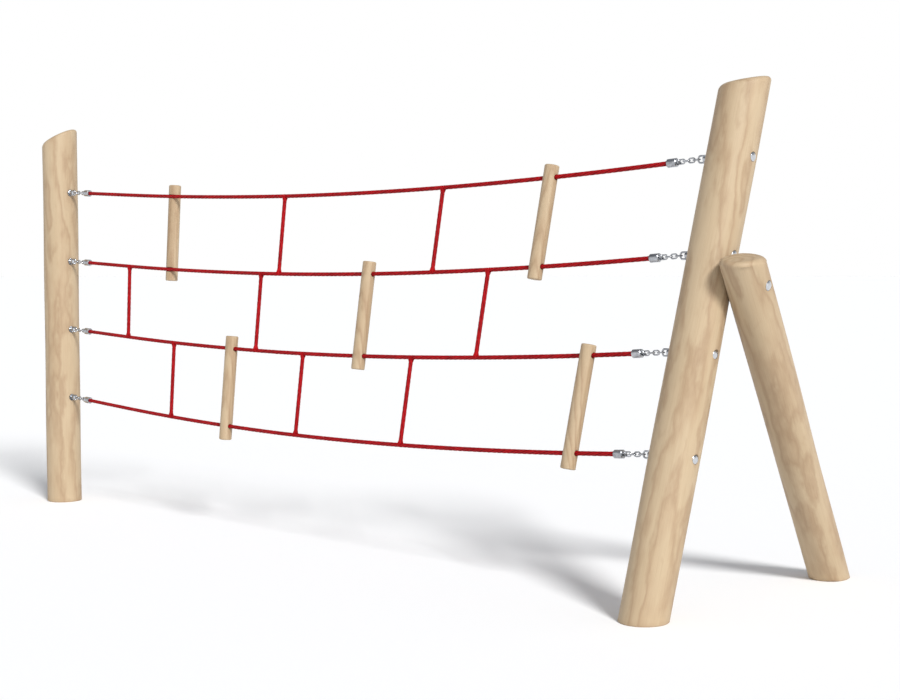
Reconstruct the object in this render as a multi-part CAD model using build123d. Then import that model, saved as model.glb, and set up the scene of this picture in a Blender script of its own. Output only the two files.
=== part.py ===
"""Cargo climbing net for a playground.

Two round timber posts and a brace carry four main ropes.  Tie ropes and drilled rungs join neighbouring
main ropes into a net, and each main rope hangs on an eye nut at both ends by a ferrule and a short chain.

Millimetres, +Z up.  The origin is the centre of the left post's foot, on the ground.  +X runs along the
ground to the main post's foot, and the main post leans towards +Y.
"""
import os
from math import cos, pi, radians, sin, sqrt, tan

from build123d import *

# Timber: heights are to the middle of each slanted top
post_diameter = 160
brace_diameter = 140
post_spacing = 3479
left_post_height = 1731
main_post_height = 1698
brace_height = 1133
main_lean_back = 12.0
main_lean_out = 3.8
brace_foot_back = 1008
brace_foot_out = 52
brace_joint_height = 1065
joint_flat_depth = 3
joint_flat_margin = 1
left_top_slope = 26
main_top_slope = 9
brace_top_slope = 14
post_top_heading = 45
brace_top_heading = 115
top_edge_radius = 20
foot_edge_chamfer = 3

# Main ropes, from the top one down: where their bolts cross the axes of the posts, and how far they sag
rope_diameter = 16
left_rope_heights = [1461, 1139, 819, 498]
main_rope_heights = [1450, 1141, 832, 508]
rope_sags = [61, 60, 61, 63]

# The route of a main rope between its two pivots, as shares of the span and of the sag
rope_route = [
    (0.088, 0.280),
    (0.158, 0.497),
    (0.228, 0.674),
    (0.298, 0.812),
    (0.366, 0.913),
    (0.436, 0.984),
    (0.506, 1.000),
    (0.574, 0.980),
    (0.642, 0.922),
    (0.710, 0.823),
    (0.778, 0.688),
    (0.846, 0.518),
    (0.914, 0.315),
]

# What joins each main rope to the next one down: name, kind, and share of the span
net_rows = [
    [
        ("rung_row_1_left", "grooved_rung", 0.210),
        ("tie_row_1_left", "tie", 0.425),
        ("tie_row_1_right", "tie", 0.677),
        ("rung_row_1_right", "drilled_rung", 0.823),
    ],
    [
        ("tie_row_2_left", "tie", 0.126),
        ("tie_row_2_middle", "tie", 0.393),
        ("rung_row_2", "drilled_rung", 0.578),
        ("tie_row_2_right", "tie", 0.758),
    ],
    [
        ("tie_row_3_left", "tie", 0.228),
        ("rung_row_3_left", "drilled_rung", 0.346),
        ("tie_row_3_middle", "tie", 0.481),
        ("tie_row_3_right", "tie", 0.662),
        ("rung_row_3_right", "drilled_rung", 0.908),
    ],
]

# Rungs and tie ropes: how far each rung reaches above its upper rope and below its lower one
rung_overhangs = {
    "rung_row_1_left": (50, 50),
    "rung_row_1_right": (44, 44),
    "rung_row_2": (48, 52),
    "rung_row_3_left": (52, 58),
    "rung_row_3_right": (38, 54),
}
rung_diameter = 52
rung_edge_radius = 5
rung_hole_clearance = 2
rung_mouth_flare = 3
rung_groove_offset = 19
seat_gap = 0.6
lower_groove_gap = 2
tie_diameter = 16
tie_seat_gap = 0.3
tie_open_gap = 2.5

# Anchor bolts and eye nuts
bolt_diameter = 12
bolt_hole_clearance = 0.5
thread_clearance = 0.1
head_diameter = 30
head_height = 8
head_rim = 1.5
neck_width = 13
neck_length = 9
neck_clearance = 0.2
seat_depth = 3
seat_clearance = 1
eye_flange_diameter = 30
eye_flange_thickness = 5
eye_boss_diameter = 20
eye_boss_length = 21
eye_bar_diameter = 6
eye_leg_offset = 11
eye_corner_radius = 8
pivot_reach = 35

# Chains and ferrules
links_per_chain = 4
link_wire = 5
link_pitch = 19
link_side_gap = 4
contact_gap = 0.3
ferrule_wall = 6.3
ferrule_length = 36
ferrule_bore_depth = 30
ferrule_bore_clearance = 0.2
ferrule_edge = 2
bail_bar_diameter = 6
bail_inset = 4
bail_corner_radius = 7
bail_window_clearance = 2
bail_tilt = 30

# Brace bolt
brace_bolt_diameter = 16
brace_head_diameter = 32
brace_nut_width = 24
brace_nut_height = 13
brace_washer_diameter = 30
brace_washer_thickness = 3
brace_counterbore_depth = 24
brace_bolt_tip = 2
bolt_end_gap = 1

# How far a cut reaches past what it cuts, and how closely the ropes are worked out
cut_margin = 1
waste_length = 3 * post_diameter
hole_length = 3 * rung_diameter
tangent_share = 0.45
place_rounds = 8

post_radius = post_diameter / 2
brace_radius = brace_diameter / 2
rope_radius = rope_diameter / 2
tie_radius = tie_diameter / 2
rung_radius = rung_diameter / 2
rung_hole_diameter = rope_diameter + 2 * rung_hole_clearance
link_inner_width = link_wire + link_side_gap
ferrule_diameter = rope_diameter + 2 * (ferrule_bore_clearance + ferrule_wall)
bail_leg_offset = ferrule_diameter / 2 - bail_inset
seat_reach = post_radius - seat_depth
up = Vector(0, 0, 1)


def leaning_axis(back, out):
    """Unit vector that rises while it leans back along +Y and out along +X, both in degrees."""
    return Vector(tan(radians(out)), tan(radians(back)), 1).normalized()


left_axis = up
main_axis = leaning_axis(main_lean_back, main_lean_out)
main_foot = Vector(post_spacing, 0, 0)
brace_foot = Vector(post_spacing + brace_foot_out, brace_foot_back, 0)


def brace_joint():
    """The side normal and the two axis points where brace and main post are bolted flat to flat."""
    main_point = main_foot + main_axis * (brace_joint_height / main_axis.Z)
    axis_distance = post_radius + brace_radius - 2 * joint_flat_depth
    to_foot = brace_foot - main_point
    across = to_foot - main_axis * to_foot.dot(main_axis)
    share = axis_distance / across.length
    side = main_axis.cross(across.normalized())
    normal = across.normalized() * share - side * sqrt(1 - share**2)
    return normal, main_point, main_point + normal * axis_distance


joint_normal, main_joint_point, brace_joint_point = brace_joint()
brace_axis = (brace_joint_point - brace_foot).normalized()


def half_chord(radius, depth):
    """Half the width of a flat cut to a depth into a round timber."""
    return sqrt(radius**2 - (radius - depth) ** 2)


def round_timber(foot, axis, radius, height, slope, heading):
    """A round timber with a level foot and a slanted top, rounded at its rim."""
    reach = 2 * height
    base = Plane(origin=foot, x_dir=Vector(1, 0, 0).cross(axis), z_dir=axis)
    timber = base * Cylinder(radius, 2 * reach)
    top_point = foot + axis * (height / axis.Z)
    tilt = radians(slope)
    turn = radians(heading)
    top_normal = Vector(-sin(tilt) * cos(turn), -sin(tilt) * sin(turn), cos(tilt))
    timber = split(timber, bisect_by=Plane(origin=top_point, z_dir=top_normal), keep=Keep.BOTTOM)
    timber = split(timber, bisect_by=Plane.XY, keep=Keep.TOP)
    rims = timber.edges().filter_by(GeomType.LINE, reverse=True).sort_by(Axis.Z)
    timber = chamfer(rims[0], foot_edge_chamfer)
    rims = timber.edges().filter_by(GeomType.LINE, reverse=True).sort_by(Axis.Z)
    return fillet(rims[-1], top_edge_radius)


def bar_through(points, radius, diameter):
    """Round bar along straight runs joined by arcs of one radius."""
    path = FilletPolyline(*points, radius=radius)
    section = Plane(origin=path @ 0, z_dir=path % 0) * Circle(diameter / 2)
    return sweep(section, path=path)


def rod(diameter, start, end):
    """Round rod along the local X axis."""
    length = end - start
    return Pos(start + length / 2, 0, 0) * Rot(0, 90, 0) * Cylinder(diameter / 2, length)


def dome_head(diameter, height, rim):
    """Dome bolt head whose seat is at local X = 0 and whose dome points along -X."""
    cap = height - rim
    ball_radius = ((diameter / 2) ** 2 + cap**2) / (2 * cap)
    ball = Pos(ball_radius - height, 0, 0) * Sphere(ball_radius)
    return ball & rod(diameter, -height, 0)


# Places of the ropes: the eye nuts pull along the line between the points where the bolts cross the axes
rope_count = len(left_rope_heights)
left_points = [Vector(0, 0, height) for height in left_rope_heights]
main_points = [main_foot + main_axis * (height / main_axis.Z) for height in main_rope_heights]
rope_lines = [(end - start).normalized() for start, end in zip(left_points, main_points)]
pivot_distance = post_radius + pivot_reach
left_pivots = [point + line * pivot_distance for point, line in zip(left_points, rope_lines)]
main_pivots = [point - line * pivot_distance for point, line in zip(main_points, rope_lines)]

link_step = link_pitch - contact_gap
last_link_end = links_per_chain * link_step
bail_bar_start = last_link_end - contact_gap - bail_bar_diameter
ferrule_start = last_link_end + link_wire + bail_window_clearance
ferrule_end = ferrule_start + ferrule_length
rope_start = ferrule_end - ferrule_bore_depth + ferrule_bore_clearance


def end_frame(origin, towards):
    """Frame at one end of a rope: X towards a point, Z as near upright as it can be."""
    x_dir = (towards - origin).normalized()
    side = up.cross(x_dir).normalized()
    return Plane(origin=origin, x_dir=x_dir, z_dir=x_dir.cross(side))


def route_points(index):
    """Points of a main rope between its pivots, sagging straight down from the line between them."""
    start = left_pivots[index]
    span = main_pivots[index] - start
    return [start + span * along - up * rope_sags[index] * drop for along, drop in rope_route]


def tangent_radii(points):
    """For each corner, the set share of its shorter run over the tangent of half the turn."""
    radii = []
    for before, corner, after in zip(points, points[1:], points[2:]):
        turn = (corner - before).get_angle(after - corner)
        shorter = min((corner - before).length, (after - corner).length)
        radii.append(tangent_share * shorter / tan(radians(turn / 2)))
    return radii


def rope_path(index):
    """Centre line of a main rope, from inside one ferrule to inside the other."""
    middle = route_points(index)
    first = end_frame(left_pivots[index], middle[0])
    last = end_frame(main_pivots[index], middle[-1])
    start = left_pivots[index] + first.x_dir * rope_start
    end = main_pivots[index] + last.x_dir * rope_start
    points = [start, *middle, end]
    radii = tangent_radii(points)
    print(f"rope_{index + 1} radii", [round(radius) for radius in radii])
    return FilletPolyline(*points, radius=radii)


def point_and_direction(index, path, share):
    """Point and direction of a main rope at a share of the span between its pivots."""
    start = left_pivots[index]
    span = main_pivots[index] - start
    fraction = share
    for _ in range(place_rounds):
        reached = (path.position_at(fraction) - start).dot(span) / span.length**2
        fraction += share - reached
    return path.position_at(fraction), path.tangent_at(fraction)


def tube(path, diameter):
    """Plain round rope along a path."""
    section = Plane(origin=path @ 0, z_dir=path % 0) * Circle(diameter / 2)
    return sweep(section, path=path)


def chain_link():
    """One link lying in the local XY plane, with its inner near end at X = 0."""
    half_width = (link_inner_width + link_wire) / 2
    near = half_width - link_wire / 2
    far = link_pitch - near
    path = Wire(
        [
            Line((near, -half_width), (far, -half_width)).edge(),
            RadiusArc((far, -half_width), (far, half_width), -half_width).edge(),
            Line((far, half_width), (near, half_width)).edge(),
            RadiusArc((near, half_width), (near, -half_width), -half_width).edge(),
        ]
    )
    section = Plane(origin=(near, -half_width, 0), z_dir=(1, 0, 0)) * Circle(link_wire / 2)
    return sweep(section, path=path)


def chain():
    """Links in a row along local X from the pivot, each a quarter turn from the last."""
    links = []
    for number in range(links_per_chain):
        near = number * link_step - contact_gap
        links.append(Pos(near, 0, 0) * Rot(90 * (number % 2), 0, 0) * chain_link())
    return Compound(children=links)


def ferrule():
    """Cup crimped on the rope's end, with a bail that holds the last link."""
    body = rod(ferrule_diameter, ferrule_start, ferrule_end)
    body = chamfer(body.edges().filter_by(GeomType.CIRCLE), ferrule_edge)
    bore = rope_diameter + 2 * ferrule_bore_clearance
    body -= rod(bore, ferrule_end - ferrule_bore_depth, ferrule_end + cut_margin)
    bar_line = bail_bar_start + bail_bar_diameter / 2
    legs_end = ferrule_start + ferrule_edge + bail_bar_diameter / 2
    points = [
        (legs_end, -bail_leg_offset),
        (bar_line, -bail_leg_offset),
        (bar_line, bail_leg_offset),
        (legs_end, bail_leg_offset),
    ]
    bail = bar_through(points, bail_corner_radius, bail_bar_diameter)
    return body + Rot(bail_tilt, 0, 0) * bail


def eye_nut():
    """Eye nut on the bolt line: X from the post's axis, its bail in the local XZ plane."""
    flange_end = seat_reach + eye_flange_thickness
    body = rod(eye_flange_diameter, seat_reach, flange_end)
    body += rod(eye_boss_diameter, flange_end, seat_reach + eye_boss_length)
    bar_line = pivot_distance + eye_bar_diameter / 2
    legs_end = seat_reach + eye_flange_thickness / 2
    points = [
        (legs_end, -eye_leg_offset),
        (bar_line, -eye_leg_offset),
        (bar_line, eye_leg_offset),
        (legs_end, eye_leg_offset),
    ]
    body += Rot(90, 0, 0) * bar_through(points, eye_corner_radius, eye_bar_diameter)
    bore_end = seat_reach + eye_boss_length + cut_margin
    return body - rod(bolt_diameter + 2 * thread_clearance, 0, bore_end)


def anchor_bolt():
    """Dome-head bolt on the bolt line, from the post's outer side into the eye nut."""
    bolt = Pos(-seat_reach, 0, 0) * dome_head(head_diameter, head_height, head_rim)
    bolt += Pos(neck_length / 2 - seat_reach, 0, 0) * Box(neck_length, neck_width, neck_width)
    return bolt + rod(bolt_diameter, -seat_reach, seat_reach + eye_boss_length - bolt_end_gap)


def anchor_cut():
    """What the post loses for one anchor: a through hole, a neck hole and a flat seat at each side."""
    cut = rod(bolt_diameter + 2 * bolt_hole_clearance, -post_diameter, post_diameter)
    neck_depth = neck_length + neck_clearance
    neck_hole = neck_width + 2 * neck_clearance
    cut += Pos(neck_depth / 2 - seat_reach, 0, 0) * Box(neck_depth, neck_hole, neck_hole)
    cut += rod(head_diameter + 2 * seat_clearance, -post_diameter, -seat_reach)
    return cut + rod(eye_flange_diameter + 2 * seat_clearance, seat_reach, post_diameter)


def joint_flat_box(x_dir, z_dir, crossing_radius):
    """Waste of a shallow flat housing, wide enough for the other timber's round back."""
    origin = main_joint_point + joint_normal * (post_radius - joint_flat_depth)
    width = 2 * (half_chord(crossing_radius, 2 * joint_flat_depth) + joint_flat_margin)
    waste = Box(waste_length, width, post_diameter, align=(Align.CENTER, Align.CENTER, Align.MIN))
    return Plane(origin=origin, x_dir=x_dir, z_dir=z_dir) * waste


# Frame of the brace bolt: X runs from the hidden nut side out to the dome head, from the main post's axis
brace_bolt_frame = Plane(origin=main_joint_point, x_dir=joint_normal * -1, z_dir=main_axis)
brace_head_seat = (brace_joint_point - main_joint_point).length + brace_radius - seat_depth
brace_washer_seat = post_radius - brace_counterbore_depth


def brace_bolt():
    """Dome-head bolt through brace and main post."""
    bolt = Pos(-brace_head_seat, 0, 0) * dome_head(brace_head_diameter, head_height, head_rim)
    tip = brace_washer_seat + brace_washer_thickness + brace_nut_height + brace_bolt_tip
    return brace_bolt_frame * (bolt + rod(brace_bolt_diameter, -brace_head_seat, tip))


def brace_washer():
    """Washer at the bottom of the counterbore."""
    end = brace_washer_seat + brace_washer_thickness
    washer = rod(brace_washer_diameter, brace_washer_seat, end)
    start = brace_washer_seat - cut_margin
    hole = rod(brace_bolt_diameter + 2 * bolt_hole_clearance, start, end + cut_margin)
    return brace_bolt_frame * (washer - hole)


def brace_nut():
    """Hexagon nut on the washer."""
    start = brace_washer_seat + brace_washer_thickness
    hexagon = RegularPolygon(brace_nut_width / 2, 6, major_radius=False)
    nut = Pos(start, 0, 0) * Rot(0, 90, 0) * extrude(hexagon, brace_nut_height)
    hole_end = start + brace_nut_height + cut_margin
    hole = rod(brace_bolt_diameter + 2 * thread_clearance, start - cut_margin, hole_end)
    return brace_bolt_frame * (nut - hole)


def brace_bolt_cut():
    """Bolt hole through both timbers, the counterbore of the nut and the seat of the head."""
    cut = rod(brace_bolt_diameter + 2 * bolt_hole_clearance, -2 * post_diameter, post_diameter)
    cut += rod(brace_washer_diameter + 2 * seat_clearance, brace_washer_seat, post_diameter)
    head_seat = rod(brace_head_diameter + 2 * seat_clearance, -waste_length, -brace_head_seat)
    return brace_bolt_frame * (cut + head_seat)


def left_end_frames():
    """Bolt lines of the left post, X towards the main post."""
    return [end_frame(start, end) for start, end in zip(left_points, main_points)]


def main_end_frames():
    """Bolt lines of the main post, X towards the left post."""
    return [end_frame(end, start) for start, end in zip(left_points, main_points)]


def left_post():
    """The upright post."""
    timber = round_timber(
        Vector(0, 0, 0), left_axis, post_radius, left_post_height, left_top_slope, post_top_heading
    )
    for frame in left_end_frames():
        timber -= frame * anchor_cut()
    return timber


def main_post():
    """The leaning post, with a flat for the brace."""
    timber = round_timber(
        main_foot, main_axis, post_radius, main_post_height, main_top_slope, post_top_heading
    )
    for frame in main_end_frames():
        timber -= frame * anchor_cut()
    timber -= joint_flat_box(brace_axis, joint_normal, brace_radius)
    return timber - brace_bolt_cut()


def brace():
    """The strut on the main post's outer side, with a flat for the post."""
    timber = round_timber(
        brace_foot, brace_axis, brace_radius, brace_height, brace_top_slope, brace_top_heading
    )
    timber -= joint_flat_box(main_axis, joint_normal * -1, post_radius)
    return timber - brace_bolt_cut()


def connector_frame(upper, lower):
    """Frame at the upper rope: Z up along the connector, X along the net, -Y to the front."""
    z_dir = (upper[0] - lower[0]).normalized()
    side = z_dir.cross(upper[1]).normalized()
    return Plane(origin=upper[0], x_dir=side.cross(z_dir), z_dir=z_dir)


def rope_hole(point, direction, diameter):
    """Straight waste of a rope hole, centred on a point."""
    return Plane(origin=point, z_dir=direction) * Cylinder(diameter / 2, hole_length)


def rung_blank(frame, spacing, offset, overhang):
    """A round rung with rounded ends that reaches past both ropes."""
    above, below = overhang
    length = spacing + above + below
    blank = Cylinder(rung_radius, length)
    blank = fillet(blank.edges().filter_by(GeomType.CIRCLE), rung_edge_radius)
    return frame * Pos(0, offset, (above - below - spacing) / 2) * blank


def drilled_rung(upper, lower, overhang):
    """A rung with a hole for each rope: it hangs on the upper rope, and the lower one runs free."""
    frame = connector_frame(upper, lower)
    rung = rung_blank(frame, (upper[0] - lower[0]).length, 0, overhang)
    drop = rung_hole_diameter / 2 - rope_radius - seat_gap
    holes = [(upper[0] - frame.z_dir * drop, upper[1]), lower]
    inner = rung_hole_diameter / 2 - rung_mouth_flare
    outer = rung_hole_diameter / 2 + rung_mouth_flare
    for point, direction in holes:
        rung -= rope_hole(point, direction, rung_hole_diameter)
        for side in (-1, 1):
            mouth = Plane(origin=point + direction * side * rung_radius, z_dir=direction * side)
            rung -= mouth * Cone(inner, outer, 2 * rung_mouth_flare)
    return rung


def grooved_rung(upper, lower, overhang):
    """A rung behind the ropes, with an open groove in its front for each of them."""
    frame = connector_frame(upper, lower)
    rung = rung_blank(frame, (upper[0] - lower[0]).length, rung_groove_offset, overhang)
    for (point, direction), gap in ((upper, seat_gap), (lower, lower_groove_gap)):
        width = rope_diameter + 2 * gap
        front = (frame.y_dir * -1).cross(direction).cross(direction) * -1
        profile = Circle(width / 2) + Pos(rung_radius, 0) * Rectangle(rung_diameter, width)
        place = Plane(origin=point, x_dir=front, z_dir=direction)
        rung -= extrude(place * profile, rung_diameter, both=True)
    return rung


def tie(upper, lower):
    """A tie rope seated under the upper rope, its lower end just above the lower rope."""
    frame = connector_frame(upper, lower)
    spacing = (upper[0] - lower[0]).length
    cord = frame * Pos(0, 0, -spacing / 2) * Cylinder(tie_radius, spacing)
    cord -= rope_hole(upper[0], upper[1], rope_diameter + 2 * tie_seat_gap)
    return cord - rope_hole(lower[0], lower[1], rope_diameter + 2 * tie_open_gap)


rung_makers = {"grooved_rung": grooved_rung, "drilled_rung": drilled_rung}

rope_paths = [rope_path(index) for index in range(rope_count)]

nodes = {
    "left_post": left_post(),
    "main_post": main_post(),
    "brace": brace(),
    "brace_bolt": brace_bolt(),
    "brace_washer": brace_washer(),
    "brace_nut": brace_nut(),
    "left_post_bolts": Compound(children=[frame * anchor_bolt() for frame in left_end_frames()]),
    "main_post_bolts": Compound(children=[frame * anchor_bolt() for frame in main_end_frames()]),
}

for index, path in enumerate(rope_paths):
    name = f"rope_{index + 1}"
    route = route_points(index)
    nodes[name] = tube(path, rope_diameter)
    left_frame = end_frame(left_pivots[index], route[0])
    right_frame = end_frame(main_pivots[index], route[-1])
    nodes[f"{name}_left_eye_nut"] = left_end_frames()[index] * eye_nut()
    nodes[f"{name}_right_eye_nut"] = main_end_frames()[index] * eye_nut()
    for side, frame in (("left", left_frame), ("right", right_frame)):
        nodes[f"{name}_{side}_chain"] = frame * chain()
        nodes[f"{name}_{side}_ferrule"] = frame * ferrule()

for row, connectors in enumerate(net_rows):
    for name, kind, share in connectors:
        upper = point_and_direction(row, rope_paths[row], share)
        lower = point_and_direction(row + 1, rope_paths[row + 1], share)
        if kind == "tie":
            nodes[name] = tie(upper, lower)
        else:
            nodes[name] = rung_makers[kind](upper, lower, rung_overhangs[name])

os.makedirs("parts", exist_ok=True)
for name, shape in nodes.items():
    export_step(shape, f"parts/{name}.step")

for index, path in enumerate(rope_paths):
    tube_volume = nodes[f"rope_{index + 1}"].volume
    share = tube_volume / (pi * rope_radius**2 * path.length)
    print(f"rope_{index + 1} length {path.length:.1f}, tube volume over section times length {share:.5f}")
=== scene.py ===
"""Looks of the cargo climbing net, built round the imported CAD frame.  Metres, +Z up, in the row frame."""
import math
import random

import bmesh
import bpy
import numpy as np
from mathutils import Matrix, Vector


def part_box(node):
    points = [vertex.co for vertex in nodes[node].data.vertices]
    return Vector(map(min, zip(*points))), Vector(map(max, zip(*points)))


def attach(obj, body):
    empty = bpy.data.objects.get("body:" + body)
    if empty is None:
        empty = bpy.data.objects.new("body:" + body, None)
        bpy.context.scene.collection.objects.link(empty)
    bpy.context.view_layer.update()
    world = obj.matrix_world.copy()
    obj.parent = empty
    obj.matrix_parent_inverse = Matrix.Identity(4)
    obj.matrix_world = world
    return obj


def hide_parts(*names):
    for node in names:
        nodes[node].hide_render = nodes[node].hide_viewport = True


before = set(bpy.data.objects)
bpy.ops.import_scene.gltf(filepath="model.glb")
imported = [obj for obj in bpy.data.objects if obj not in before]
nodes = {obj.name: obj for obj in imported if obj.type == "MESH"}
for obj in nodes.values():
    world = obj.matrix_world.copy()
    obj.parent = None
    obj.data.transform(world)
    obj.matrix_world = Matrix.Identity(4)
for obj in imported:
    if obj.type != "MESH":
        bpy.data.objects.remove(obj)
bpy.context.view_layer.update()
scene = bpy.context.scene
rng = random.Random(20)

UP = Vector((0, 0, 1))

# ---------------------------------------------------------------- sizes, as in the CAD source, in metres
POST_RADIUS = 0.080
BRACE_RADIUS = 0.070
POST_SPACING = 3.479
LEFT_POST_HEIGHT = 1.731
MAIN_POST_HEIGHT = 1.698
BRACE_HEIGHT = 1.133
MAIN_LEAN_BACK = 12.0
MAIN_LEAN_OUT = 3.8
BRACE_FOOT_BACK = 1.008
BRACE_FOOT_OUT = 0.052
BRACE_JOINT_HEIGHT = 1.065
JOINT_FLAT_DEPTH = 0.003
JOINT_FLAT_MARGIN = 0.001
LEFT_TOP_SLOPE = 26
MAIN_TOP_SLOPE = 9
BRACE_TOP_SLOPE = 14
POST_TOP_HEADING = 45
BRACE_TOP_HEADING = 115
TOP_EDGE_RADIUS = 0.020
FOOT_EDGE = 0.003
SEAT_DEPTH = 0.003
SEAT_RADIUS = 0.016
BOLT_HOLE_RADIUS = 0.0065
BRACE_BOLT_HOLE_RADIUS = 0.0085
BRACE_HEAD_SEAT_RADIUS = 0.017
BRACE_COUNTERBORE = 0.024
BRACE_CUT_REACH = 2 * POST_RADIUS
FLAT_CUT_LENGTH = 6 * POST_RADIUS

ROPE_RADIUS = 0.008
LEFT_ROPE_HEIGHTS = (1.461, 1.139, 0.819, 0.498)
MAIN_ROPE_HEIGHTS = (1.450, 1.141, 0.832, 0.508)
ROPE_SAGS = (0.061, 0.060, 0.061, 0.063)
PIVOT_DISTANCE = 0.115
ROPE_START = 0.0880
FERRULE_MOUTH = 0.0298
ROUTE_STEP = 0.005

# The route of a main rope between its two pivots, as shares of the span and of the sag
ROPE_ROUTE = (
    (0.088, 0.280),
    (0.158, 0.497),
    (0.228, 0.674),
    (0.298, 0.812),
    (0.366, 0.913),
    (0.436, 0.984),
    (0.506, 1.000),
    (0.574, 0.980),
    (0.642, 0.922),
    (0.710, 0.823),
    (0.778, 0.688),
    (0.846, 0.518),
    (0.914, 0.315),
)

# Ties: name, the upper rope's index, share of the span
TIES = (
    ("tie_row_1_left", 0, 0.425),
    ("tie_row_1_right", 0, 0.677),
    ("tie_row_2_left", 1, 0.126),
    ("tie_row_2_middle", 1, 0.393),
    ("tie_row_2_right", 1, 0.758),
    ("tie_row_3_left", 2, 0.228),
    ("tie_row_3_middle", 2, 0.481),
    ("tie_row_3_right", 2, 0.662),
)
RUNGS = ("rung_row_1_left", "rung_row_1_right", "rung_row_2", "rung_row_3_left", "rung_row_3_right")


def leaning_axis(back, out):
    """Unit vector that rises while it leans back along +Y and out along +X, both in degrees."""
    return Vector((math.tan(math.radians(out)), math.tan(math.radians(back)), 1)).normalized()


main_axis = leaning_axis(MAIN_LEAN_BACK, MAIN_LEAN_OUT)
main_foot = Vector((POST_SPACING, 0, 0))
brace_foot = Vector((POST_SPACING + BRACE_FOOT_OUT, BRACE_FOOT_BACK, 0))


def brace_joint():
    """The side normal and the two axis points where brace and main post are bolted flat to flat."""
    main_point = main_foot + main_axis * (BRACE_JOINT_HEIGHT / main_axis.z)
    distance = POST_RADIUS + BRACE_RADIUS - 2 * JOINT_FLAT_DEPTH
    to_foot = brace_foot - main_point
    across = to_foot - main_axis * to_foot.dot(main_axis)
    share = distance / across.length
    side = main_axis.cross(across.normalized())
    normal = across.normalized() * share - side * math.sqrt(1 - share**2)
    return normal, main_point, main_point + normal * distance


joint_normal, main_joint_point, brace_joint_point = brace_joint()
brace_axis = (brace_joint_point - brace_foot).normalized()

left_points = [Vector((0, 0, h)) for h in LEFT_ROPE_HEIGHTS]
main_points = [main_foot + main_axis * (h / main_axis.z) for h in MAIN_ROPE_HEIGHTS]
rope_lines = [(b - a).normalized() for a, b in zip(left_points, main_points)]
left_pivots = [p + d * PIVOT_DISTANCE for p, d in zip(left_points, rope_lines)]
main_pivots = [p - d * PIVOT_DISTANCE for p, d in zip(main_points, rope_lines)]

# ---------------------------------------------------------------- camera
camera_data = bpy.data.cameras.new("camera")
camera = bpy.data.objects.new("camera", camera_data)
scene.collection.objects.link(camera)
camera_data.sensor_width = 36
camera_data.lens = 59.08
camera_data.clip_end = 1200
yaw, pitch = math.radians(45.25), math.radians(2.99)
forward = Vector((-math.sin(yaw) * math.cos(pitch), math.cos(yaw) * math.cos(pitch), -math.sin(pitch)))
camera.location = (6.290, -3.636, 1.086)
camera.rotation_mode = "QUATERNION"
camera.rotation_quaternion = forward.to_track_quat("-Z", "Y")
scene.camera = camera


# ---------------------------------------------------------------- node helpers
def new_material(name):
    """A new node material, its tree and its shader."""
    material = bpy.data.materials.new(name)
    material.use_nodes = True
    tree = material.node_tree
    return material, tree, tree.nodes["Principled BSDF"]


def link(tree, a, b):
    tree.links.new(a, b)


def value_math(tree, operation, a, b=None, clamp=False):
    """A Math node: a and b are sockets or numbers."""
    node = tree.nodes.new("ShaderNodeMath")
    node.operation = operation
    node.use_clamp = clamp
    for socket, value in zip(node.inputs, (a, b)):
        if value is None:
            continue
        if isinstance(value, (int, float)):
            socket.default_value = value
        else:
            link(tree, value, socket)
    return node.outputs[0]


def ramp(tree, factor, stops):
    """A linear Color Ramp node: stops are (position, colour)."""
    node = tree.nodes.new("ShaderNodeValToRGB")
    elements = node.color_ramp.elements
    while len(elements) < len(stops):
        elements.new(0.5)
    for element, (position, color) in zip(elements, stops):
        element.position = position
        element.color = (*color, 1)
    link(tree, factor, node.inputs[0])
    return node.outputs[0]


def noise(tree, vector, scale, detail, roughness, stretch=None):
    """A Noise node's value, with its coordinates stretched if asked."""
    if stretch:
        mapping = tree.nodes.new("ShaderNodeMapping")
        mapping.inputs["Scale"].default_value = stretch
        link(tree, vector, mapping.inputs["Vector"])
        vector = mapping.outputs[0]
    node = tree.nodes.new("ShaderNodeTexNoise")
    node.inputs["Scale"].default_value = scale
    node.inputs["Detail"].default_value = detail
    node.inputs["Roughness"].default_value = roughness
    link(tree, vector, node.inputs["Vector"])
    return node.outputs["Fac"]


def mix_color(tree, factor, a, b, blend="MIX"):
    """A colour Mix node: factor is a socket or a number, a and b are sockets or colours."""
    node = tree.nodes.new("ShaderNodeMix")
    node.data_type = "RGBA"
    node.blend_type = blend
    if isinstance(factor, (int, float)):
        node.inputs["Factor"].default_value = factor
    else:
        link(tree, factor, node.inputs["Factor"])
    for socket, value in ((node.inputs[6], a), (node.inputs[7], b)):
        if isinstance(value, tuple):
            socket.default_value = (*value, 1)
        else:
            link(tree, value, socket)
    return node.outputs[2]


def bump(tree, height, strength, distance, normal=None):
    """A Bump node, over another one if given."""
    node = tree.nodes.new("ShaderNodeBump")
    node.inputs["Strength"].default_value = strength
    node.inputs["Distance"].default_value = distance
    link(tree, height, node.inputs["Height"])
    if normal:
        link(tree, normal, node.inputs["Normal"])
    return node.outputs[0]


# ---------------------------------------------------------------- materials
LIGHT_WOOD = (0.480, 0.372, 0.244)
MIDDLE_WOOD = (0.445, 0.332, 0.213)
DARK_WOOD = (0.376, 0.266, 0.165)
# Dark brown of the painted shade on the timbers' rims and edges
RIM_SHADE_WOOD = (0.230, 0.130, 0.062)
RING_STOPS = ((0.0, LIGHT_WOOD), (0.22, LIGHT_WOOD), (0.50, MIDDLE_WOOD), (0.74, DARK_WOOD), (1.0, LIGHT_WOOD))
RIPPLE_SHARE = 1.3

# Red fibre with painted light: a painted highlight on the top of a strand, then painted shade down to near
# black at the bottom of the groove beside it
ROPE_SHADE_STOPS = (
    (0.0, (0.450, 0.003, 0.007)),
    (0.30, (0.320, 0.002, 0.005)),
    (0.62, (0.080, 0.001, 0.002)),
    (1.0, (0.010, 0.001, 0.001)),
)
YARN_RATE_ACROSS = 31.4
YARN_RATE_ALONG = 1900.0


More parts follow.
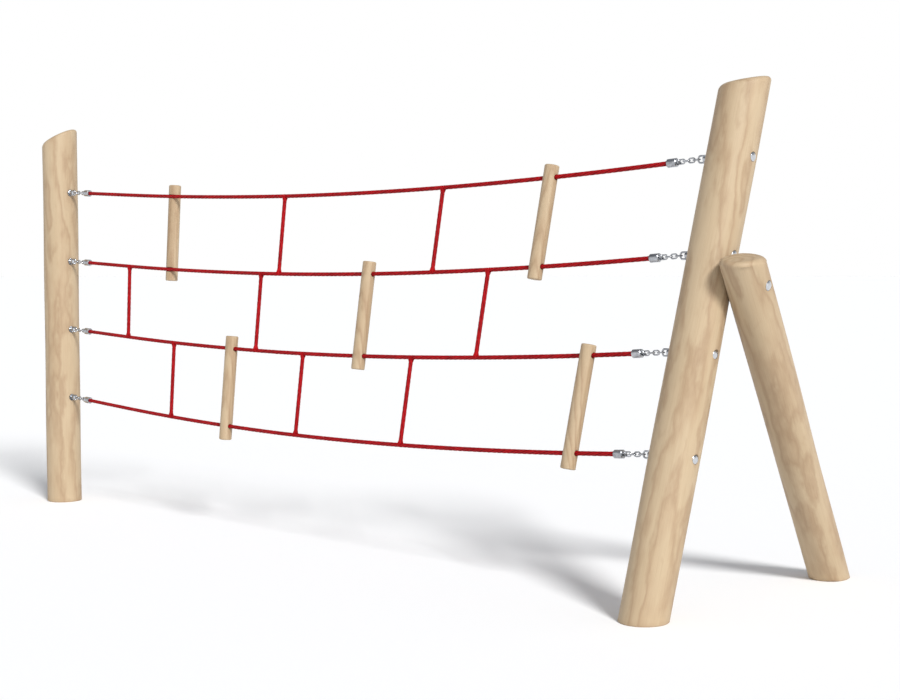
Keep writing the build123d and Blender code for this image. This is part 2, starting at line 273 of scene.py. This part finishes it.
def wood(name, origin, axis, ring_width, wander, turn):
    """Pine: growth rings round a wandering pith, so that a turned surface cuts them into long flames."""
    material, tree, shader = new_material(name)
    coordinates = tree.nodes.new("ShaderNodeTexCoord")
    local = tree.nodes.new("ShaderNodeMapping")
    local.vector_type = "TEXTURE"
    local.inputs["Location"].default_value = origin
    spin = Matrix.Rotation(turn, 3, "Z").to_quaternion()
    local.inputs["Rotation"].default_value = (axis.to_track_quat("Z", "Y") @ spin).to_euler()
    link(tree, coordinates.outputs["Object"], local.inputs["Vector"])
    point = local.outputs[0]
    parts = tree.nodes.new("ShaderNodeSeparateXYZ")
    link(tree, point, parts.inputs[0])

    def shifted(socket, stretch, amount):
        field = value_math(tree, "SUBTRACT", noise(tree, point, 1.0, 2.0, 0.45, stretch), 0.5)
        return value_math(tree, "ADD", socket, value_math(tree, "MULTIPLY", field, amount))

    x = shifted(parts.outputs[0], (5.0, 5.0, 0.9), wander)
    y = shifted(parts.outputs[1], (6.0, 4.5, 1.1), wander)
    squares = [value_math(tree, "MULTIPLY", value, value) for value in (x, y)]
    radius = value_math(tree, "SQRT", value_math(tree, "ADD", *squares))
    ripple = noise(tree, point, 1.0, 3.0, 0.5, (30.0, 30.0, 9.0))
    radius = value_math(tree, "ADD", radius, value_math(tree, "MULTIPLY", ripple, RIPPLE_SHARE * ring_width))
    phase = value_math(tree, "FRACT", value_math(tree, "DIVIDE", radius, ring_width))
    rings = ramp(tree, phase, RING_STOPS)
    fibre = noise(tree, point, 1.0, 5.0, 0.62, (620.0, 620.0, 9.0))
    streak = noise(tree, point, 1.0, 3.0, 0.55, (120.0, 120.0, 1.6))
    mottle = noise(tree, point, 6.0, 3.0, 0.5, (1.0, 1.0, 0.35))
    above = value_math(tree, "SUBTRACT", streak, 0.42, True)
    color = mix_color(tree, value_math(tree, "MULTIPLY", above, 1.5, True), rings, MIDDLE_WOOD)
    shade = ramp(tree, fibre, ((0.25, (0.80, 0.77, 0.73)), (0.6, (1.0, 1.0, 1.0))))
    color = mix_color(tree, 0.55, color, shade, "MULTIPLY")
    shade = ramp(tree, mottle, ((0.3, (0.91, 0.88, 0.84)), (0.65, (1.0, 1.0, 1.0))))
    color = mix_color(tree, 0.8, color, shade, "MULTIPLY")
    # Painted shade: rims and convex edges, found by pointiness, are darkened towards a dark brown in place of
    # the shading at the timbers' edges.
    rim = tree.nodes.new("ShaderNodeNewGeometry")
    painted_rim_shade = ramp(tree, rim.outputs["Pointiness"], ((0.505, (0.0, 0.0, 0.0)), (0.60, (1.0, 1.0, 1.0))))
    color = mix_color(tree, value_math(tree, "MULTIPLY", painted_rim_shade, 0.35), color, RIM_SHADE_WOOD)
    link(tree, color, shader.inputs["Base Color"])
    gloss = value_math(tree, "ADD", value_math(tree, "MULTIPLY", fibre, 0.18), 0.47)
    link(tree, gloss, shader.inputs["Roughness"])
    shader.inputs["Specular IOR Level"].default_value = 0.35
    normal = bump(tree, fibre, 0.30, 0.0006)
    normal = bump(tree, phase, 0.12, 0.0010, normal)
    link(tree, normal, shader.inputs["Normal"])
    return material


def rope_material():
    """Laid red fibre: painted shade between the strands and between the yarns across each strand, and a painted
    highlight on the strand tops.
    """
    material, tree, shader = new_material("red_rope")
    # Painted light: the groove value gives the strand tops a painted highlight and the grooves painted shade.
    groove = tree.nodes.new("ShaderNodeAttribute")
    groove.attribute_name = "groove"
    base = ramp(tree, groove.outputs["Fac"], ROPE_SHADE_STOPS)
    lay = tree.nodes.new("ShaderNodeUVMap")
    lay.uv_map = "lay"
    parts = tree.nodes.new("ShaderNodeSeparateXYZ")
    link(tree, lay.outputs[0], parts.inputs[0])
    across = value_math(tree, "MULTIPLY", parts.outputs[0], YARN_RATE_ACROSS)
    turns = value_math(tree, "ADD", across, value_math(tree, "MULTIPLY", parts.outputs[1], YARN_RATE_ALONG))
    yarn = value_math(tree, "ADD", value_math(tree, "MULTIPLY", value_math(tree, "SINE", turns), 0.5), 0.5)
    coordinates = tree.nodes.new("ShaderNodeTexCoord")
    fuzz = noise(tree, coordinates.outputs["Object"], 900.0, 3.0, 0.6)
    patch = noise(tree, coordinates.outputs["Object"], 22.0, 2.0, 0.5)
    # Painted shade: the gaps between the yarns are darkened towards a deep red.
    between = value_math(tree, "MULTIPLY", value_math(tree, "SUBTRACT", 1.0, yarn), 0.38)
    color = mix_color(tree, between, base, (0.17, 0.001, 0.004))
    shade = ramp(tree, patch, ((0.3, (0.80, 0.80, 0.80)), (0.7, (1.12, 1.05, 1.05))))
    color = mix_color(tree, 1.0, color, shade, "MULTIPLY")
    link(tree, color, shader.inputs["Base Color"])
    rough = value_math(tree, "ADD", value_math(tree, "MULTIPLY", fuzz, 0.25), 0.42)
    link(tree, rough, shader.inputs["Roughness"])
    shader.inputs["Specular IOR Level"].default_value = 0.12
    fibres = value_math(tree, "MULTIPLY", fuzz, 0.5)
    height = value_math(tree, "ADD", value_math(tree, "MULTIPLY", yarn, 0.7), fibres)
    link(tree, bump(tree, height, 0.55, 0.0006), shader.inputs["Normal"])
    return material


def metal(name, dark, light, low, high, grain):
    """Clouded, speckled metal between two colours and two roughnesses."""
    material, tree, shader = new_material(name)
    coordinates = tree.nodes.new("ShaderNodeTexCoord")
    point = coordinates.outputs["Object"]
    cloud = noise(tree, point, 55.0, 4.0, 0.55)
    speck = noise(tree, point, grain, 3.0, 0.6)
    fine = value_math(tree, "MULTIPLY", speck, 0.4)
    both = value_math(tree, "ADD", value_math(tree, "MULTIPLY", cloud, 0.6), fine)
    link(tree, ramp(tree, both, ((0.35, dark), (0.65, light))), shader.inputs["Base Color"])
    rough = value_math(tree, "ADD", value_math(tree, "MULTIPLY", both, high - low), low)
    link(tree, rough, shader.inputs["Roughness"])
    shader.inputs["Metallic"].default_value = 1.0
    link(tree, bump(tree, speck, 0.12, 0.0003), shader.inputs["Normal"])
    return material


red_rope = rope_material()
zinc = metal("zinc_steel", (0.24, 0.25, 0.27), (0.62, 0.64, 0.67), 0.12, 0.34, 900.0)
dome = metal("dome_bolt", (0.55, 0.57, 0.60), (0.72, 0.74, 0.77), 0.10, 0.26, 700.0)


def dress(obj, material):
    """Gives a CAD node one new material."""
    obj.data.materials.clear()
    obj.data.materials.append(material)


# ---------------------------------------------------------------- mesh helpers
def mesh_object(name, vertices, faces, material):
    """A smooth-shaded mesh object."""
    mesh = bpy.data.meshes.new(name)
    mesh.from_pydata([tuple(v) for v in vertices], [], faces)
    mesh.validate()
    mesh.update()
    obj = bpy.data.objects.new(name, mesh)
    scene.collection.objects.link(obj)
    mesh.materials.append(material)
    smooth(mesh)
    return obj


def smooth(mesh, sharp_degrees=None):
    """Smooth shading, with edges kept sharp from an angle up if one is given."""
    built = bmesh.new()
    built.from_mesh(mesh)
    bmesh.ops.recalc_face_normals(built, faces=built.faces)
    for face in built.faces:
        face.smooth = True
    if sharp_degrees:
        limit = math.radians(sharp_degrees)
        for edge in built.edges:
            edge.smooth = len(edge.link_faces) != 2 or edge.calc_face_angle(0) < limit
    built.to_mesh(mesh)
    built.free()


def sampled(name, points, step):
    """Points along the NURBS spline that has these control points, read from Blender's own curve."""
    curve = bpy.data.curves.new(name, "CURVE")
    curve.dimensions = "3D"
    spline = curve.splines.new("NURBS")
    spline.points.add(len(points) - 1)
    for target, point in zip(spline.points, points):
        target.co = (*point, 1)
    spline.order_u = 3
    spline.use_endpoint_u = True
    curve.resolution_u = 12
    obj = bpy.data.objects.new(name, curve)
    scene.collection.objects.link(obj)
    bpy.context.view_layer.update()
    line = bpy.data.meshes.new_from_object(obj.evaluated_get(bpy.context.evaluated_depsgraph_get()))
    read = np.array([v.co for v in line.vertices])
    bpy.data.objects.remove(obj)
    bpy.data.curves.remove(curve)
    bpy.data.meshes.remove(line)
    reached = np.concatenate([[0], np.cumsum(np.linalg.norm(np.diff(read, axis=0), axis=1))])
    wanted = np.linspace(0, reached[-1], max(2, round(reached[-1] / step) + 1))
    return np.stack([np.interp(wanted, reached, read[:, k]) for k in range(3)], axis=1)


def line_frames(points, reference):
    """Tangent and two normals at each point of a nearly straight line."""
    tangents = np.gradient(points, axis=0)
    tangents /= np.linalg.norm(tangents, axis=1)[:, None]
    across = np.cross(tangents, np.array(reference))
    across /= np.linalg.norm(across, axis=1)[:, None]
    return tangents, across, np.cross(across, tangents)


# Laid rope: strands, points round it, length of one turn, how its surface dips between two strands, and how
# much lighter the painted groove shade is in every other groove
STRANDS = 6
SIDES = 48
LAY = 0.140
GROOVE_DEPTH = 0.16
GROOVE_SHARPNESS = 2.4
PALE_GROOVE = 0.62


def laid_rope(name, points, reference, radius_at, phase):
    """Closed mesh of a laid rope: strands that turn round its line, with grooves between them."""
    _, across, other = line_frames(points, reference)
    along = np.concatenate([[0], np.cumsum(np.linalg.norm(np.diff(points, axis=0), axis=1))])
    vertices, grooves = [], []
    for ring, reached in enumerate(along):
        scale = radius_at(reached, along[-1])
        for side in range(SIDES):
            angle = 2 * math.pi * side / SIDES
            lobe = (STRANDS * (angle / (2 * math.pi) - reached / LAY) + phase) % STRANDS
            depth = abs(2 * (lobe % 1) - 1) ** GROOVE_SHARPNESS
            radius = ROPE_RADIUS * scale * (1 - GROOVE_DEPTH * depth)
            # Painted shade: the groove value darkens the colour down in each groove; every other groove gets
            # only PALE_GROOVE of it.
            deep = 1.0 if round(lobe) % 2 == 0 else PALE_GROOVE
            outward = math.cos(angle) * across[ring] + math.sin(angle) * other[ring]
            vertices.append(points[ring] + radius * outward)
            grooves.append(depth * deep)
    faces, corners = [], []
    for ring in range(len(along) - 1):
        for side in range(SIDES):
            after = (side + 1) % SIDES
            a, b = ring * SIDES, (ring + 1) * SIDES
            faces.append((a + side, a + after, b + after, b + side))
            v0, v1 = along[ring], along[ring + 1]
            u0, u1 = STRANDS * side / SIDES, STRANDS * (side + 1) / SIDES
            for u, v in ((u0, v0), (u1, v0), (u1, v1), (u0, v1)):
                corners.append((u - STRANDS * v / LAY, v))
    last = (len(along) - 1) * SIDES
    faces += [tuple(reversed(range(SIDES))), tuple(range(last, last + SIDES))]
    corners += [(0, 0)] * (2 * SIDES)
    mesh = bpy.data.meshes.new(name)
    mesh.from_pydata([tuple(v) for v in vertices], [], faces)
    mesh.update()
    mesh.uv_layers.new(name="lay").data.foreach_set("uv", np.array(corners, np.float32).ravel())
    mesh.attributes.new("groove", "FLOAT", "POINT").data.foreach_set("value", np.array(grooves, np.float32))
    mesh.polygons.foreach_set("use_smooth", [True] * len(faces))
    mesh.materials.append(red_rope)
    obj = bpy.data.objects.new(name, mesh)
    scene.collection.objects.link(obj)
    return obj


# ---------------------------------------------------------------- main ropes
def end_bulge(reached, total):
    """The rope swells a little where the crimped ferrule lets go of it."""
    near = min(reached, total - reached)
    return 1 + 0.13 * math.exp(-(((near - FERRULE_MOUTH - 0.006) / 0.0035) ** 2))


rope_samples = []
for index, (start, end) in enumerate(zip(left_pivots, main_pivots)):
    number = index + 1
    span = end - start
    middle = [start + span * share - UP * (ROPE_SAGS[index] * drop) for share, drop in ROPE_ROUTE]
    first = start + (middle[0] - start).normalized() * ROPE_START
    last = end + (middle[-1] - end).normalized() * ROPE_START
    line = sampled(f"route_{number}", [first, *middle, last], ROUTE_STEP)
    rope_samples.append(line)
    rope = laid_rope(f"main_rope_{number}", line, UP, end_bulge, rng.uniform(0, STRANDS))
    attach(rope, f"rope_{number}")
    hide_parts(f"rope_{number}")


def on_rope(index, share):
    """Point and direction of a main rope at a share of the span between its pivots."""
    start, end = np.array(left_pivots[index]), np.array(main_pivots[index])
    line = rope_samples[index]
    shares = (line - start) @ (end - start) / np.dot(end - start, end - start)
    point = Vector([np.interp(share, shares, line[:, k]) for k in range(3)])
    near = int(np.searchsorted(shares, share))
    return point, Vector(line[near] - line[near - 1]).normalized()


# ---------------------------------------------------------------- ties
# A tie's strands, and how they open out and lie round a main rope
SPLICE_STRANDS = 6
SPLICE_STEPS = 14
SPLICE_SPACING = 0.0044
SPLICE_REACH = (62, 86)
SPLICE_OPENING = 0.45
SPLICE_START_ANGLE = 23
SPLICE_FAR, SPLICE_DROP = 0.021, 0.017
SPLICE_INNER = 0.0042
SPLICE_THICK, SPLICE_TAPER = 0.0026, 0.0016
STRAND_SIDES = 10
TIE_INSET = 0.35 * ROPE_RADIUS


def strand_tube(points, radii, sides=STRAND_SIDES):
    """Vertices and faces of one tapering strand, closed at both ends."""
    line = np.array([tuple(p) for p in points])
    tangents = np.gradient(line, axis=0)
    tangents /= np.linalg.norm(tangents, axis=1)[:, None]
    side = np.cross(tangents[0], (0.31, 0.17, 0.93))
    side /= np.linalg.norm(side)
    vertices, faces = [], []
    for ring, (point, tangent, radius) in enumerate(zip(line, tangents, radii)):
        side = side - tangent * np.dot(side, tangent)
        side /= np.linalg.norm(side)
        other = np.cross(tangent, side)
        for k in range(sides):
            angle = 2 * math.pi * k / sides
            vertices.append(point + radius * (math.cos(angle) * side + math.sin(angle) * other))
        if ring:
            for k in range(sides):
                after = (k + 1) % sides
                a, b = (ring - 1) * sides, ring * sides
                faces.append((a + k, a + after, b + after, b + k))
    end = (len(line) - 1) * sides
    faces += [tuple(reversed(range(sides))), tuple(range(end, end + sides))]
    return vertices, faces


def splice(name, centre, along, outward, front):
    """Strands of a tie that open out and pass round a main rope, three in front and three behind."""
    vertices, faces, grooves = [], [], []
    for k in range(SPLICE_STRANDS):
        side = 1 if k % 2 else -1
        spread = (k // 2 - 1) * SPLICE_SPACING
        reach = math.radians(rng.uniform(*SPLICE_REACH))
        grip = ROPE_RADIUS + 0.0002
        points = []
        for step in range(SPLICE_STEPS + 1):
            share = step / SPLICE_STEPS
            if share < SPLICE_OPENING:
                t = share / SPLICE_OPENING
                low = outward * (SPLICE_FAR - SPLICE_DROP * t**1.2)
                wide = front * side * (SPLICE_INNER + (grip - SPLICE_INNER) * t**1.4)
                points.append(centre + low + wide + along * spread * (0.55 + 0.75 * t))
            else:
                t = (share - SPLICE_OPENING) / (1 - SPLICE_OPENING)
                angle = math.radians(SPLICE_START_ANGLE) - t * reach
                low = outward * (grip * math.sin(angle))
                wide = front * (side * grip * math.cos(angle))
                points.append(centre + low + wide + along * spread * (1.3 + 0.5 * t))
        radii = [SPLICE_THICK - SPLICE_TAPER * (step / SPLICE_STEPS) ** 1.3 for step in range(SPLICE_STEPS + 1)]
        more, sides = strand_tube(points, radii)
        base = len(vertices)
        vertices += more
        faces += [tuple(i + base for i in face) for face in sides]
        # Painted shade: splice strands take a little of the groove shade, and more at their tips where they
        # tuck against the main rope.
        grooves += [0.12 + 0.5 * (i // STRAND_SIDES == SPLICE_STEPS) for i in range(len(more))]
    obj = mesh_object(name, vertices, faces, red_rope)
    obj.data.uv_layers.new(name="lay")
    groove = obj.data.attributes.new("groove", "FLOAT", "POINT")
    groove.data.foreach_set("value", np.array(grooves, np.float32))
    return obj


for name, row, share in TIES:
    upper, upper_way = on_rope(row, share)
    lower, lower_way = on_rope(row + 1, share)
    down = (lower - upper).normalized()
    front = upper_way.cross(down).normalized()
    top, bottom = upper + down * TIE_INSET, lower - down * TIE_INSET
    line = sampled(f"route_{name}", [top, upper.lerp(lower, 0.3), upper.lerp(lower, 0.7), bottom], ROUTE_STEP)
    tie = laid_rope(f"{name}_rope", line, front, lambda reached, total: 1.0, rng.uniform(0, STRANDS))
    ends = [
        splice(f"{name}_upper_splice", upper, upper_way, down, front),
        splice(f"{name}_lower_splice", lower, lower_way, down * -1, front),
    ]
    for piece in (tie, *ends):
        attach(piece, name)
    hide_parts(name)

# ---------------------------------------------------------------- timber
AROUND = 168
RIM_STEPS = 8
TOP_RINGS = 14
RING_SPACING = 0.010
WAVE_COUNT = 9
WAVE_INSET = 0.0004
SHARP_DEGREES = 38


def timber(name, foot, axis, radius, height, slope, heading, material):
    """A round timber with a level foot and a slanted, rounded top, and the slight waves of a turned pole."""
    first = Vector((1, 0, 0)).cross(axis).normalized()
    second = axis.cross(first)
    tilt, turn = math.radians(slope), math.radians(heading)
    normal = Vector((-math.sin(tilt) * math.cos(turn), -math.sin(tilt) * math.sin(turn), math.cos(tilt)))
    top_point = foot + axis * (height / axis.z)
    waves = [
        (rng.uniform(1.5, 9.0), rng.randint(1, 4), rng.uniform(0, 6.28), rng.uniform(0.00015, 0.0005))
        for _ in range(WAVE_COUNT)
    ]

    def radial(angle):
        return first * math.cos(angle) + second * math.sin(angle)

    def wavy(angle, along):
        swell = sum(size * math.sin(rate * along + lobes * angle + shift) for rate, lobes, shift, size in waves)
        return radius - WAVE_INSET + swell

    def plane_height(direction, distance):
        return ((top_point - foot).dot(normal) - direction.dot(normal) * distance) / axis.dot(normal)

    def foot_height(direction, distance):
        return -(foot.z + direction.z * distance) / axis.z

    rings = round(height / RING_SPACING)
    angles = [2 * math.pi * k / AROUND for k in range(AROUND)]
    directions = [radial(angle) for angle in angles]
    rows = []

    def add(row):
        rows.append([foot + d * distance + axis * along for d, (distance, along) in zip(directions, row)])

    soles = [wavy(a, 0) - FOOT_EDGE for a in angles]
    add([(distance, foot_height(d, distance)) for distance, d in zip(soles, directions)])
    for ring in range(rings + 1):
        row = []
        for a, d in zip(angles, directions):
            low = foot_height(d, wavy(a, 0)) + FOOT_EDGE
            high = plane_height(d, wavy(a, height)) - TOP_EDGE_RADIUS
            along = low + (high - low) * ring / rings
            row.append((wavy(a, along), along))
        add(row)
    for step in range(1, RIM_STEPS + 1):
        phi = math.pi / 2 * step / RIM_STEPS
        row = []
        for a, d in zip(angles, directions):
            distance = wavy(a, height) - TOP_EDGE_RADIUS * (1 - math.cos(phi))
            row.append((distance, plane_height(d, distance) - TOP_EDGE_RADIUS * (1 - math.sin(phi))))
        add(row)
    for ring in range(1, TOP_RINGS):
        row = []
        for a, d in zip(angles, directions):
            distance = (wavy(a, height) - TOP_EDGE_RADIUS) * (1 - ring / TOP_RINGS)
            row.append((distance, plane_height(d, distance)))
        add(row)
    vertices = [v for row in rows for v in row]
    faces = []
    for ring in range(len(rows) - 1):
        for k in range(AROUND):
            after = (k + 1) % AROUND
            a, b = ring * AROUND, (ring + 1) * AROUND
            faces.append((a + k, a + after, b + after, b + k))
    crown, sole = len(vertices), len(vertices) + 1
    vertices += [top_point, foot]
    last = (len(rows) - 1) * AROUND
    for k in range(AROUND):
        after = (k + 1) % AROUND
        faces += [(last + k, last + after, crown), (after, k, sole)]
    return mesh_object(name, vertices, faces, material)


def lathe(name, origin, direction, profile, sides=64):
    """Closed round cutter along a line: profile is (distance along it, radius), from one end to the other."""
    first = direction.cross(UP if abs(direction.z) < 0.9 else Vector((1, 0, 0))).normalized()
    second = direction.cross(first)
    vertices, faces = [], []
    for row, (along, radius) in enumerate(profile):
        for k in range(sides):
            angle = 2 * math.pi * k / sides
            outward = first * math.cos(angle) + second * math.sin(angle)
            vertices.append(origin + direction * along + outward * radius)
            if row:
                after = (k + 1) % sides
                a, b = (row - 1) * sides, row * sides
                faces.append((a + k, a + after, b + after, b + k))
    last = (len(profile) - 1) * sides
    faces += [tuple(reversed(range(sides))), tuple(range(last, last + sides))]
    return mesh_object(name, vertices, faces, zinc)


def waste_box(name, origin, x_dir, z_dir, length, width, height):
    """Closed box cutter that stands on its origin along z_dir."""
    y_dir = z_dir.cross(x_dir).normalized()
    x_dir = y_dir.cross(z_dir)
    corners = [
        origin + x_dir * (sx * length / 2) + y_dir * (sy * width / 2) + z_dir * (sz * height)
        for sz in (0, 1)
        for sx, sy in ((-1, -1), (1, -1), (1, 1), (-1, 1))
    ]
    faces = [(0, 3, 2, 1), (4, 5, 6, 7), (0, 1, 5, 4), (1, 2, 6, 5), (2, 3, 7, 6), (3, 0, 4, 7)]
    return mesh_object(name, corners, faces, zinc)


def cut_out(obj, cutters):
    """Takes the cutters from a piece and removes them."""
    for cutter in cutters:
        modifier = obj.modifiers.new("cut", "BOOLEAN")
        modifier.operation = "DIFFERENCE"
        modifier.solver = "EXACT"
        modifier.object = cutter
    bpy.context.view_layer.update()
    made = bpy.data.meshes.new_from_object(obj.evaluated_get(bpy.context.evaluated_depsgraph_get()))
    obj.modifiers.clear()
    old, obj.data = obj.data, made
    made.name = obj.name
    bpy.data.meshes.remove(old)
    for cutter in cutters:
        bpy.data.objects.remove(cutter)
    while len(made.materials) > 1:
        made.materials.pop()
    made.polygons.foreach_set("material_index", [0] * len(made.polygons))
    smooth(made, SHARP_DEGREES)


def anchor_cutter(name, point, line):
    """A bolt hole right through a post, with a flat seat at each side."""
    seat = POST_RADIUS - SEAT_DEPTH
    far = 2 * POST_RADIUS
    profile = (
        (-far, SEAT_RADIUS),
        (-seat, SEAT_RADIUS),
        (-seat, BOLT_HOLE_RADIUS),
        (seat, BOLT_HOLE_RADIUS),
        (seat, SEAT_RADIUS),
        (far, SEAT_RADIUS),
    )
    return lathe(name, point, line, profile)


def flat_width(crossing_radius):
    """Width of the flat that the other timber's round back needs."""
    depth = 2 * JOINT_FLAT_DEPTH
    return 2 * (math.sqrt(crossing_radius**2 - (crossing_radius - depth) ** 2) + JOINT_FLAT_MARGIN)


# Each timber's pith lies a little off its axis; then the width of a ring, its wander and its turn
left_wood = wood("timber_left", (0.012, -0.02, 0), UP, 0.029, 0.160, 0.4)
main_wood = wood("timber_main", main_foot + Vector((0.015, 0.01, 0)), main_axis, 0.029, 0.160, 1.9)
brace_wood = wood("timber_brace", brace_foot + Vector((0.01, -0.015, 0)), brace_axis, 0.027, 0.150, 3.1)

left_size = (Vector((0, 0, 0)), UP, POST_RADIUS, LEFT_POST_HEIGHT)
main_size = (main_foot, main_axis, POST_RADIUS, MAIN_POST_HEIGHT)
brace_size = (brace_foot, brace_axis, BRACE_RADIUS, BRACE_HEIGHT)
left_post = timber("left_post_timber", *left_size, LEFT_TOP_SLOPE, POST_TOP_HEADING, left_wood)
main_post = timber("main_post_timber", *main_size, MAIN_TOP_SLOPE, POST_TOP_HEADING, main_wood)
brace = timber("brace_timber", *brace_size, BRACE_TOP_SLOPE, BRACE_TOP_HEADING, brace_wood)

left_anchors = enumerate(zip(left_points, rope_lines))
cut_out(left_post, [anchor_cutter(f"cut_left_{i}", p, d) for i, (p, d) in left_anchors])
washer_seat = POST_RADIUS - BRACE_COUNTERBORE
head_seat = (brace_joint_point - main_joint_point).length + BRACE_RADIUS - SEAT_DEPTH
flat_origin = main_joint_point + joint_normal * (POST_RADIUS - JOINT_FLAT_DEPTH)
nut_profile = (
    (-0.3, BRACE_BOLT_HOLE_RADIUS),
    (washer_seat, BRACE_BOLT_HOLE_RADIUS),
    (washer_seat, SEAT_RADIUS),
    (BRACE_CUT_REACH, SEAT_RADIUS),
)
head_profile = (
    (0.0, BRACE_BOLT_HOLE_RADIUS),
    (head_seat, BRACE_BOLT_HOLE_RADIUS),
    (head_seat, BRACE_HEAD_SEAT_RADIUS),
    (0.4, BRACE_HEAD_SEAT_RADIUS),
)
main_flat = (FLAT_CUT_LENGTH, flat_width(BRACE_RADIUS), BRACE_CUT_REACH)
brace_flat = (FLAT_CUT_LENGTH, flat_width(POST_RADIUS), BRACE_CUT_REACH)
main_anchors = enumerate(zip(main_points, rope_lines))
main_cutters = [anchor_cutter(f"cut_main_{i}", p, d) for i, (p, d) in main_anchors]
main_cutters.append(lathe("cut_main_brace", main_joint_point, joint_normal * -1, nut_profile))
main_cutters.append(waste_box("cut_main_flat", flat_origin, brace_axis, joint_normal, *main_flat))
cut_out(main_post, main_cutters)
brace_cutters = [
    lathe("cut_brace_bolt", main_joint_point, joint_normal, head_profile),
    waste_box("cut_brace_flat", flat_origin, main_axis, joint_normal * -1, *brace_flat),
]
cut_out(brace, brace_cutters)
for piece, node in ((left_post, "left_post"), (main_post, "main_post"), (brace, "brace")):
    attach(piece, "frame")
    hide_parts(node)

# ---------------------------------------------------------------- rungs and hardware keep their CAD shapes
for count, name in enumerate(RUNGS):
    low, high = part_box(name)
    centre = (Vector(low) + Vector(high)) / 2
    shift = Vector((rng.uniform(-0.03, 0.03), rng.uniform(0.02, 0.05), 0))
    dress(nodes[name], wood(f"rung_wood_{count + 1}", centre + shift, UP, 0.014, 0.085, 0.9 * count))
for name, node in nodes.items():
    if name.endswith(("_eye_nut", "_chain", "_ferrule")) or name in ("brace_washer", "brace_nut"):
        dress(node, zinc)
    elif name.endswith("_bolts") or name == "brace_bolt":
        dress(node, dome)

# ---------------------------------------------------------------- floor and light
floor_material, _, floor_shader = new_material("floor")
floor_shader.inputs["Base Color"].default_value = (0.97, 0.97, 0.97, 1)
floor_shader.inputs["Roughness"].default_value = 0.9
floor_shader.inputs["Specular IOR Level"].default_value = 0.0
FLOOR_HALF = 400
floor_corners = [(x * FLOOR_HALF, y * FLOOR_HALF, 0) for x, y in ((-1, -1), (1, -1), (1, 1), (-1, 1))]
floor = mesh_object("floor", floor_corners, [(0, 1, 2, 3)], floor_material)

world = bpy.data.worlds.new("studio")
scene.world = world
world.use_nodes = True
background = world.node_tree.nodes["Background"]
background.inputs["Strength"].default_value = 1.0
sky = world.node_tree
direction = sky.nodes.new("ShaderNodeTexCoord")
sky_parts = sky.nodes.new("ShaderNodeSeparateXYZ")
link(sky, direction.outputs["Generated"], sky_parts.inputs[0])
SKY_STOPS = (
    (0.0, (1.0, 1.0, 1.0)),
    (0.26, (1.0, 1.0, 1.0)),
    (0.52, (0.36, 0.37, 0.39)),
    (1.0, (0.22, 0.23, 0.25)),
)
link(sky, ramp(sky, sky_parts.outputs[2], SKY_STOPS), background.inputs["Color"])

sun_data = bpy.data.lights.new("key", "SUN")
sun_data.energy = 3.4
sun_data.angle = math.radians(14)
sun = bpy.data.objects.new("key", sun_data)
scene.collection.objects.link(sun)
sun.rotation_mode = "QUATERNION"
sun.rotation_quaternion = Vector((-0.76, 0.30, -0.57)).to_track_quat("-Z", "Y")
scene.view_settings.view_transform = "Standard"
